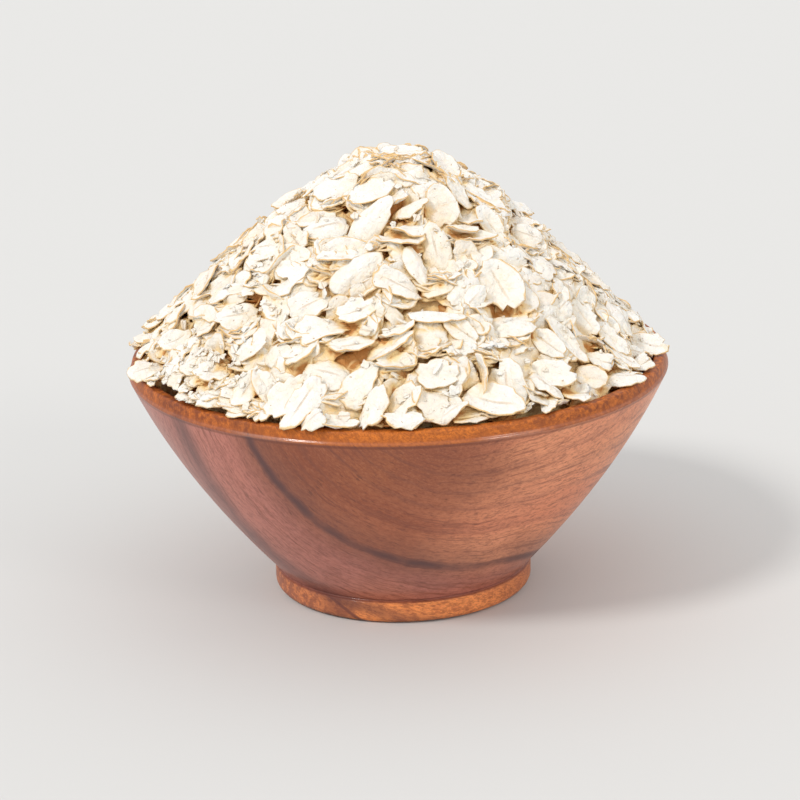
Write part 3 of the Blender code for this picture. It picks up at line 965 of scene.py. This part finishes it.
def show_flake(right, down, length, width, turn, lean, towards, kind, tone):
    """Places one flake by what the picture shows of it, and keeps its front clear."""
    spot = on_heap(right, down)
    back = CAMERA_SPOT - spot
    back /= np.linalg.norm(back)
    side, up = CAMERA_AXES[:, 0], CAMERA_AXES[:, 1]
    turn, lean, towards = (math.radians(value) for value in (turn, lean, towards))
    third = math.cos(lean) * back + math.sin(lean) * (math.cos(towards) * side + math.sin(towards) * up)
    first = math.cos(turn) * side + math.sin(turn) * up
    first -= third * (third @ first)
    first /= np.linalg.norm(first)
    frame_axes = np.stack([first, np.cross(third, first), third], axis=1)
    model = FLAKE_KINDS[kind]
    size = np.array([length / model[0], width / model[1], draw.choice((-1.0, 1.0), p=(0.3, 0.7))])
    bend = draw.normal(0.0, (5.0, 8.0, 6.0))
    version = int(draw.integers(VERSIONS))
    points = shaped(flake_models[kind, version].feel, size, bend) @ frame_axes.T + spot
    low = points[np.hypot(points[:, 0], points[:, 1]) > INNER_RIM - 0.3 * MM]
    low = low[np.hypot(low[:, 0], low[:, 1]) < RIM_RADIUS + 0.2 * MM]
    raise_by = max(0.0, ON_RIM - low[:, 2].min()) if len(low) else 0.0
    spot = spot + np.array([0, 0, raise_by])
    points[:, 2] += raise_by
    rows, columns = cell_of(points)
    np.minimum.at(ceiling, (rows, columns), points[:, 2])
    flakes.append(Copy(kind, version, size, bend, frame_axes, spot, tone, True))
    across, along, far = to_pixels(points)
    mask = np.zeros((PICTURE, PICTURE), bool)
    for shift_x in (-1, 0, 1):
        for shift_y in (-1, 0, 1):
            mask[(along + shift_y).astype(int), (across + shift_x).astype(int)] = True
    for step in range(EDGE_ROOM + 1):
        mask[1:-1, 1:-1] &= mask[:-2, 1:-1] & mask[2:, 1:-1] & mask[1:-1, :-2] & mask[1:-1, 2:]
    taken = mask & (keep_clear > 0)
    keep_clear[taken] = np.minimum(keep_clear[taken], far.mean())
    keep_clear[mask & ~taken] = far.mean()
    return raise_by


lifts = [show_flake(*row) for row in SHOWN]
UNDER_SHOWN = 0.9 * MM
wanted = np.minimum(wanted, ceiling - UNDER_SHOWN)
print("shown flakes:", len(SHOWN), "most raised by", round(max(lifts) / MM, 2), "mm")

# %% [markdown]
# ## Let the flakes fall
#
# Again and again the lowest place under the heap's outline is found, a flake is held over it at a
# few random slants, and the slant that fits best is let down until it touches. Then the map is
# raised by that flake. The first flakes lie level or lean anyhow, so that their ends jut out of the
# slope later; the last ones lie along the slope and fill what is still low.

# %% Fall
KIND_SHARES = {
    "broad": 0.22,
    "long": 0.17,
    "cupped": 0.13,
    "wavy": 0.14,
    "split": 0.13,
    "small": 0.1,
    "half": 0.07,
    "strip": 0.04,
}
KIND_NAMES = list(KIND_SHARES)
KIND_ODDS = np.array(list(KIND_SHARES.values())) / sum(KIND_SHARES.values())
JUT = 1.8 * MM  # how far a flake may rise over the heap's outline
STANDS_OUT, STANDS_OUT_SHARE = 1.3 * MM, 0.16  # some rise further, and how many do
# How a flake lies: along the slope, nearly level, or leaning anyhow.
LEAN_SPREAD = (0.24, 0.26, 0.7)
TOUCHING = (0.06, 0.12, 0.12)  # the share of its points that may sink in


def turn_to(normal, turn):
    """A frame of axes as columns, whose third is the normal, turned about it."""
    third = normal / np.linalg.norm(normal)
    side = np.array([math.cos(turn), math.sin(turn), 0.0])
    side -= third * (side @ third)
    side /= np.linalg.norm(side)
    return np.stack([side, np.cross(third, side), third], axis=1)


def slope_normal(place):
    """The way the heap's outline and the ground on it face, round a place."""
    step = 2.4 * MM
    x, y = place
    spots = np.array([(x + step, y), (x - step, y), (x, y + step), (x, y - step)])
    outline = heap_height(spots[:, 0], spots[:, 1])
    rows, columns = cell_of(spots)
    around = [ground[row - 2 : row + 3, column - 2 : column + 3] for row, column in zip(rows, columns)]
    heights = np.array([patch.mean() for patch in around])
    heights = 0.6 * outline + 0.4 * np.clip(heights, outline - 5 * MM, outline + MM)
    normal = np.array([heights[1] - heights[0], heights[3] - heights[2], 2.0 * step])
    return normal / np.linalg.norm(normal)


def in_front_of_shown(points):
    """Whether points would cover a flake that is to be seen."""
    across, along, far = to_pixels(points)
    rows = np.clip(along.astype(int), 0, PICTURE - 1)
    columns = np.clip(across.astype(int), 0, PICTURE - 1)
    return (far < keep_clear[rows, columns] - 0.8 * MM).mean() > 0.02


def let_down(place, choices, habits, jut):
    """Finds a resting pose over a place for one new flake, and adds the flake to the heap."""
    if draw.random() < STANDS_OUT_SHARE:
        jut += STANDS_OUT
    kind = KIND_NAMES[draw.choice(len(KIND_NAMES), p=KIND_ODDS)]
    version = int(draw.integers(VERSIONS))
    size = np.array([draw.uniform(0.85, 1.12), draw.uniform(0.84, 1.12), draw.uniform(0.75, 1.15)])
    size[1] *= draw.choice((-1, 1))
    size[2] *= draw.choice((-1, 1), p=(0.35, 0.65))
    bend = draw.normal(0.0, (9.0, 14.0, 12.0))
    feel = shaped(flake_models[kind, version].feel, size, bend)
    base = slope_normal(place)
    best = None
    for choice in range(choices):
        habit = draw.choice(3, p=habits)
        lie = np.array([0.25 * base[0], 0.25 * base[1], 1.0]) if habit == 1 else base
        normal = lie + draw.normal(0.0, LEAN_SPREAD[habit], 3)
        frame_axes = turn_to(normal, draw.uniform(0, math.tau))
        points = feel @ frame_axes.T
        points[:, :2] += place
        rows, columns = cell_of(points)
        gaps = points[:, 2] - ground[rows, columns]
        touching = int(TOUCHING[habit] * len(gaps))
        down = np.partition(gaps, touching)[touching]
        down += np.clip((points[:, 2] - down - target[rows, columns]).max() - jut, 0.0, 2.6 * MM)
        top = points[:, 2] - down
        reach = np.hypot(points[:, 0], points[:, 1])
        over_rim = reach > INNER_RIM - 0.3 * MM
        if (top[over_rim] < ON_RIM).any() or reach.max() > RIM_RADIUS + 1.2 * MM:
            continue
        if (top - target[rows, columns]).max() > jut + 0.3 * MM:
            continue
        if (top > ceiling[rows, columns] + 0.35 * MM).mean() > 0.03:
            continue
        looseness = np.clip(top - ground[rows, columns], 0, 6 * MM).mean() + draw.uniform(0, 0.5) * MM
        if best is None or looseness < best[0]:
            best = (looseness, frame_axes, points, rows, columns, down)
    if best is None:
        return False
    looseness, frame_axes, points, rows, columns, down = best
    points[:, 2] -= down
    if in_front_of_shown(points):
        return False
    np.maximum.at(ground, (rows, columns), points[:, 2])
    centre = np.array([place[0], place[1], -down])
    flakes.append(Copy(kind, version, size, bend, frame_axes, centre, draw.random() ** 1.5, False))
    return True


def fall(depth, choices, habits, jut, most, enough):
    """Lets flakes fall until nothing is much lower than a depth under the outline."""
    count = misses = 0
    while count < most and misses < 90:
        spots = draw.integers(0, CELLS, (90, 2))
        lack = wanted[spots[:, 0], spots[:, 1]] - depth - ground[spots[:, 0], spots[:, 1]]
        row, column = spots[(lack + draw.uniform(0, 0.8 * MM, len(spots))).argmax()]
        if wanted[row, column] - depth - ground[row, column] < enough:
            misses += 1
            continue
        place = np.array([axis[column], axis[row]]) + draw.uniform(-1, 1, 2) * MM
        if let_down(place, choices, habits, jut):
            count += 1
            misses = 0
        else:
            misses += 0.25
    return count


print("rough flakes:", fall(2.2 * MM, 2, (0.3, 0.52, 0.18), JUT, 1500, 0.5 * MM))
print("middle flakes:", fall(0.6 * MM, 3, (0.58, 0.3, 0.12), JUT, 1500, 0.3 * MM))
print("last flakes:", fall(0.0, 5, (0.84, 0.12, 0.04), 1.4 * MM, 1200, 0.25 * MM))

for flake in flakes[: len(SHOWN)]:
    points = posed(flake_models[flake.kind, flake.version].feel, flake)
    np.maximum.at(ground, cell_of(points), points[:, 2])

# %% [markdown]
# ## Chips and crumbs
#
# Between the flakes lie broken bits: flat chips with straight broken sides, thin slivers, and
# crumbs of flour. They are finer than the flakes, so each kind is a shape of a few dozen faces,
# copied many times at many sizes. They settle in the gaps and along the rim, most of them low on
# the left.

# %% Chips
CHIP_KINDS = {
    # name: sides, length, width, thickness in mm, ragged
    "chip": (7, 3.2, 2.4, 0.4, 0.5),
    "sliver": (6, 4.4, 1.2, 0.4, 0.3),
    "crumb": (7, 1.3, 1.0, 0.4, 0.5),
}


def model_chip(name, kind, seed):
    """One chip, lying flat at the origin with its length along X."""
    sides, length, width, thickness, ragged = kind
    start_piece()
    bpy.ops.mesh.primitive_cylinder_add(
        vertices=sides, radius=0.5, depth=1.0, end_fill_type="NGON", location=(0, 0, 0)
    )
    chip = bpy.context.object
    chip.name = name
    bpy.ops.object.mode_set(mode="EDIT")
    bpy.ops.mesh.select_all(action="SELECT")
    bpy.ops.mesh.bevel(offset=0.1, segments=1)
    bpy.ops.object.mode_set(mode="OBJECT")
    for vert in chip.data.vertices:
        x, y, z = vert.co
        push = 1.0 + ragged * 2.0 * noise.noise(Vector((x * 2.2, y * 2.2, seed * 5.7)))
        bend = 0.9 * (x * x - 0.1) + 0.4 * noise.noise(Vector((x, y, seed + 0.5)))
        height = z * thickness + bend * 0.3 * thickness
        vert.co = Vector((x * push * length, y * push * width, height)) * MM
    return chip


chip_models = {}
for order, (name, kind) in enumerate(CHIP_KINDS.items()):
    for version in range(VERSIONS):
        chip = model_chip(f"model_{name}_{version}", kind, 100 + 10 * order + version)
        arrays = mesh_arrays(chip)
        chip_models[name, version] = Model(*arrays, arrays[0])
        bpy.data.objects.remove(chip)

CHIP_COUNT = 900
CRUMBLY_SPOT, CRUMBLY_SHARE = on_heap(185, 386)[:2], 0.45
CRUMBLY_SIZE = np.array([8.0, 6.0]) * MM
CHIP_ODDS = (0.6, 0.2, 0.2)
chips = []
for attempt in range(CHIP_COUNT * 3):
    if len(chips) >= CHIP_COUNT:
        break
    if draw.random() < CRUMBLY_SHARE:
        place = CRUMBLY_SPOT + draw.normal(0, 1, 2) * CRUMBLY_SIZE
    else:
        reach = 55.0 * MM * math.sqrt(draw.random())
        turn = draw.uniform(0, math.tau)
        place = reach * np.array([math.cos(turn), math.sin(turn)])
    if np.hypot(*place) > RIM_RADIUS:
        continue
    row, column = cell_of(place)
    if np.hypot(*place) < INNER_RIM - 6 * MM and target[row, column] - ground[row, column] > 1.3 * MM:
        continue
    kind = list(CHIP_KINDS)[draw.choice(3, p=CHIP_ODDS)]
    version = int(draw.integers(VERSIONS))
    size = np.full(3, draw.uniform(0.4, 1.0)) * draw.uniform(0.85, 1.15, 3)
    normal = slope_normal(place) + draw.normal(0, 0.28, 3)
    frame_axes = turn_to(normal, draw.uniform(0, math.tau))
    points = shaped(chip_models[kind, version].points, size, np.zeros(3)) @ frame_axes.T
    points[:, :2] += place
    rows, columns = cell_of(points)
    down = np.partition(points[:, 2] - ground[rows, columns], 4)[4]
    reach = np.hypot(points[:, 0], points[:, 1])
    juts = (points[:, 2] - down - target[rows, columns]).max()
    if reach.max() > RIM_RADIUS - 0.4 * MM or juts > 2.0 * MM:
        continue
    points[:, 2] -= down
    if (points[reach > INNER_RIM - 0.3 * MM, 2] < ON_RIM).any() or in_front_of_shown(points):
        continue
    np.maximum.at(ground, (rows, columns), points[:, 2])
    centre = np.array([place[0], place[1], -down])
    tone = draw.uniform(0.4, 1.0)
    chips.append(Copy(kind, version, size, np.zeros(3), frame_axes, centre, tone, False))
print("chips:", len(chips))

# %% [markdown]
# ## Join the flakes
#
# A flake that is buried deep is dropped. Each kind becomes one mesh, joined from arrays, because
# a thousand separate objects would be slow to handle. Every point also keeps three numbers for the
# finish: its flake's tone, how near its flake's edge it is, and how closed in it is by the heap
# round it, which sets the painted shade in the gaps. That last number comes from the height map:
# rays go out sideways and upwards, and those that meet the heap are counted.

# %% Join
SEEN_DEPTH = 3.6 * MM
FLAT_MAP = 12.0 * MM  # the length on a flake that the whole flat map covers


def closed_in(points):
    """The share of the sky, from 0 to 1, that the heap hides from each point."""
    hidden = np.zeros(len(points), np.float32)
    for turn in range(8):
        way = np.array([math.cos(turn * math.tau / 8), math.sin(turn * math.tau / 8)])
        for rise in (0.45, 1.2):
            met = np.zeros(len(points), bool)
            for reach in (0.8, 1.7, 3.2, 5.5):
                spot = points[:, :2] + way * reach * MM
                met |= ground[cell_of(spot)] > points[:, 2] + (rise * reach + 0.25) * MM
            hidden += met
    return hidden / 16.0


def joined(name, members, models):
    """One mesh from many copies, with a flat map along each and the three numbers."""
    points, corners, counts, maps, tones, rims = [], [], [], [], [], []
    start = 0
    for copy in members:
        model = models[copy.kind, copy.version]
        loops = model.corners
        if copy.size[1] * copy.size[2] < 0:  # a mirrored copy, whose faces are turned round again
            faces = np.split(loops, np.cumsum(model.counts)[:-1])
            loops = np.concatenate([face[::-1] for face in faces])
        points.append(posed(model.points, copy))
        corners.append(loops + start)
        counts.append(model.counts)
        maps.append((model.points[:, :2] / FLAT_MAP + 0.5)[loops])
        tones.append(np.full(len(model.points), copy.tone, np.float32))
        rims.append(model.rim)
        start += len(model.points)
    points, corners, counts = (np.concatenate(rows) for rows in (points, corners, counts))
    mesh = bpy.data.meshes.new(name)
    mesh.vertices.add(len(points))
    mesh.vertices.foreach_set("co", points.astype(np.float32).ravel())
    mesh.loops.add(len(corners))
    mesh.loops.foreach_set("vertex_index", corners.astype(np.int32))
    mesh.polygons.add(len(counts))
    starts = np.concatenate([[0], np.cumsum(counts)[:-1]]).astype(np.int32)
    mesh.polygons.foreach_set("loop_start", starts)
    mesh.polygons.foreach_set("use_smooth", np.ones(len(counts), bool))
    mesh.update(calc_edges=True)
    layer = mesh.uv_layers.new(name="flake")
    layer.data.foreach_set("uv", np.concatenate(maps).astype(np.float32).ravel())
    for label, values in (
        ("tone", np.concatenate(tones)),
        ("rim", np.concatenate(rims)),
        ("shade", closed_in(points)),
    ):
        mesh.attributes.new(label, "FLOAT", "POINT").data.foreach_set("value", values.astype(np.float32))
    piece = bpy.data.objects.new(name, mesh)
    scene.collection.objects.link(piece)
    print(f"{name}: {len(members)} copies, {int((counts - 2).sum())} triangles")
    return piece


kept = []
for flake in flakes:
    points = posed(flake_models[flake.kind, flake.version].points, flake)
    if flake.shown or (ground[cell_of(points)] - points[:, 2]).min() < SEEN_DEPTH:
        kept.append(flake)
print("flakes:", len(flakes), "of which show:", len(kept))

# %% [markdown]
# ## The oats' finish
#
# Rolled oats are a pale cream, almost white where flour clings, with a thin tan crease, fine lines
# along the grain and a few brown specks of bran. Their thin edges are tan, and on the edges' sides
# the tan is laid deeper as painted shade for the lines where flakes meet. Light soaks into them and
# bounces from flake to flake, so the gaps glow golden brown. Light alone would leave the gaps grey,
# so a painted shade, warm and then brown, is also laid by how closed in a point is. The fine lines
# follow the flat map of each flake, and its tone makes some whiter and some more tan.

# %% Oat material


def crease_share(tree, flat, lines, tone):
    """How plain the crease is: a thin bowed line along the middle, on about half of the flakes."""
    along, over = add_node(tree, "ShaderNodeSeparateXYZ", None, Vector=flat).outputs[:2]
    bow = times(tree, centred(tree, noise_of(tree, lines, 0.06, 1.0)), 0.12)
    middle = maths(tree, "ABSOLUTE", maths(tree, "ADD", centred(tree, over), bow))
    chosen = maths(tree, "FRACT", times(tree, tone, 7.7))
    return times(
        tree,
        remap(tree, middle, 0.003, 0.02, 0.45, 0.0),
        remap(tree, far_from(tree, along, 0.5), 0.08, 0.34, 1.0, 0.0),
        remap(tree, chosen, 0.3, 0.7),
    )


def oat_material():
    material, tree, shader = new_shader("rolled_oats")
    place = add_node(tree, "ShaderNodeTexCoord").outputs["Object"]
    flat = add_node(tree, "ShaderNodeUVMap", {"uv_map": "flake"}).outputs["UV"]
    tone, rim, shade = (
        add_node(tree, "ShaderNodeAttribute", {"attribute_name": label}).outputs["Fac"]
        for label in ("tone", "rim", "shade")
    )
    cloud = noise_of(tree, place, 420, 3.0, 0.6)
    blush = noise_of(tree, place, 230, 2.0, 0.5)
    specks = noise_of(tree, place, 1300, 1.0, 0.5)
    folds = noise_of(tree, place, 700, 3.0, 0.55, 0.6)
    marks = noise_of(tree, vector_maths(tree, "MULTIPLY", flat, (26.0, 40.0, 1.0)), 1.0, 2.0, 0.55)
    lines = vector_maths(tree, "MULTIPLY", flat, (5.0, 60.0, 1.0))
    lines = vector_maths(tree, "ADD", lines, as_place(tree, 0.0, 0.0, times(tree, tone, 40.0)))
    fibre = noise_of(tree, lines, 1.0, 3.0, 0.6)
    crease = crease_share(tree, flat, lines, tone)
    edge = maths(tree, "MULTIPLY_ADD", centred(tree, cloud), 0.3, rim)
    edge = maths(tree, "MULTIPLY_ADD", centred(tree, blush), 0.7, edge)
    # Painted shade: how closed in a point is, made a little uneven, sets the warm and brown paint in the
    # gaps.
    painted_gap_shade = maths(tree, "MULTIPLY_ADD", centred(tree, cloud), 0.12, shade)

    on_face = (
        (tone, 0.45, 1.0, 1.0, (0.815, 0.74, 0.64)),
        (cloud, 0.55, 0.73, 0.4, (0.81, 0.63, 0.37)),
        (blush, 0.52, 0.7, 0.24, (0.81, 0.67, 0.58)),
        (fibre, 0.55, 0.75, 0.16, (0.62, 0.42, 0.2)),
        (marks, 0.64, 0.76, 0.5, (0.55, 0.34, 0.14)),
    )
    edges_specks_and_painted_shade = (
        # Tan on the thin edges: partly their own colour, partly painted shade. The second layer lays it
        # deeper on the edges' sides as painted shade in the lines where flakes meet.
        (edge, 0.84, 1.0, 0.75, (0.76, 0.48, 0.17)),
        (rim, 0.93, 1.0, 0.5, (0.70, 0.43, 0.16)),
        (specks, 0.72, 0.78, 0.7, (0.36, 0.19, 0.07)),
        # Painted shade in the gaps: pale warm, then golden, then brown where most closed in.
        (painted_gap_shade, 0.1, 0.4, 0.35, (0.87, 0.77, 0.60)),
        (painted_gap_shade, 0.38, 0.84, 0.9, (0.87, 0.61, 0.27)),
        (painted_gap_shade, 0.8, 1.02, 0.9, (0.48, 0.18, 0.035)),
    )
    colour = lay_over(tree, (0.825, 0.80, 0.75), on_face)
    colour = mix_colours(tree, crease, colour, (0.5, 0.3, 0.12))
    tree.links.new(lay_over(tree, colour, edges_specks_and_painted_shade), shader.inputs["Base Color"])
    relief = maths(tree, "MULTIPLY_ADD", folds, 2.2, times(tree, fibre, -0.25))
    add_relief(tree, shader, maths(tree, "SUBTRACT", relief, crease), 0.8, 0.4 * MM)
    set_values(shader, Roughness=0.78, Specular_IOR_Level=0.25)
    set_values(shader, Subsurface_Weight=0.25, Subsurface_Scale=0.6 * MM)
    set_values(shader, Subsurface_Radius=(1.0, 0.85, 0.7))
    print("oats:", len(tree.nodes), "nodes")
    return material


OATS = oat_material()


def serve(piece):
    """Gives a piece of the heap the oats' finish, and sets it in the oats' place in the frame."""
    piece.data.materials.append(OATS)
    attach(piece, "root")
    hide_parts("oats")


for kind in KIND_NAMES:
    members = [flake for flake in kept if flake.kind == kind]
    serve(joined(f"flakes_{kind}", members, flake_models))
for kind in CHIP_KINDS:
    members = [chip for chip in chips if chip.kind == kind]
    serve(joined(f"bits_{kind}", members, chip_models))

# %% [markdown]
# ## Under the flakes
#
# Between the flakes one looks down on more oats. A closed core fills the bowl and rises under the
# flakes: a turned shape whose top points follow the height map of the heap, a little lower. It is
# given a high closed-in number, so it is painted in the gaps' warm painted shade.

# %% Core of the heap
CORE_SIDES = 120
CORE_RINGS = 40
core_outline = [(FLOOR_RADIUS, FLOOR_HEIGHT + 0.4 * MM)]
core_outline += [(inner_radius(BEND_HEIGHT) - 0.9 * MM, BEND_HEIGHT)]
for step in range(1, 9):
    height = BEND_HEIGHT + (EDGE_HEIGHT - 3.0 * MM - BEND_HEIGHT) * step / 8
    core_outline.append((inner_radius(height) - 0.7 * MM, height))
edge = core_outline[-1][0]
core_outline += [(edge * (1 - step / CORE_RINGS), RIM_HEIGHT) for step in range(CORE_RINGS)]
core = turn_up("heap_core", CORE_SIDES, core_outline)
for vert in core.data.vertices:
    if vert.co.z > RIM_HEIGHT - 0.01 * MM:
        row, column = (int(index) for index in cell_of(np.array(vert.co)))
        around = ground[row - 3 : row + 4, column - 3 : column + 4]
        low = min(float(np.percentile(around, 15)), float(target[row, column])) - 2.8 * MM
        if math.hypot(vert.co.x, vert.co.y) > edge - 1.5 * MM:
            low = EDGE_HEIGHT - 2.5 * MM
        vert.co.z = low + 0.8 * MM * noise.noise(vert.co * 500)
core.data.shade_smooth()
core.data.uv_layers.new(name="flake")
# The high shade number paints the whole core in the gaps' warm painted shade.
for label, value in (("tone", 0.9), ("rim", 0.0), ("shade", 0.85)):
    values = np.full(len(core.data.vertices), value, np.float32)
    core.data.attributes.new(label, "FLOAT", "POINT").data.foreach_set("value", values)
serve(core)
print("core:", len(core.data.polygons), "faces")
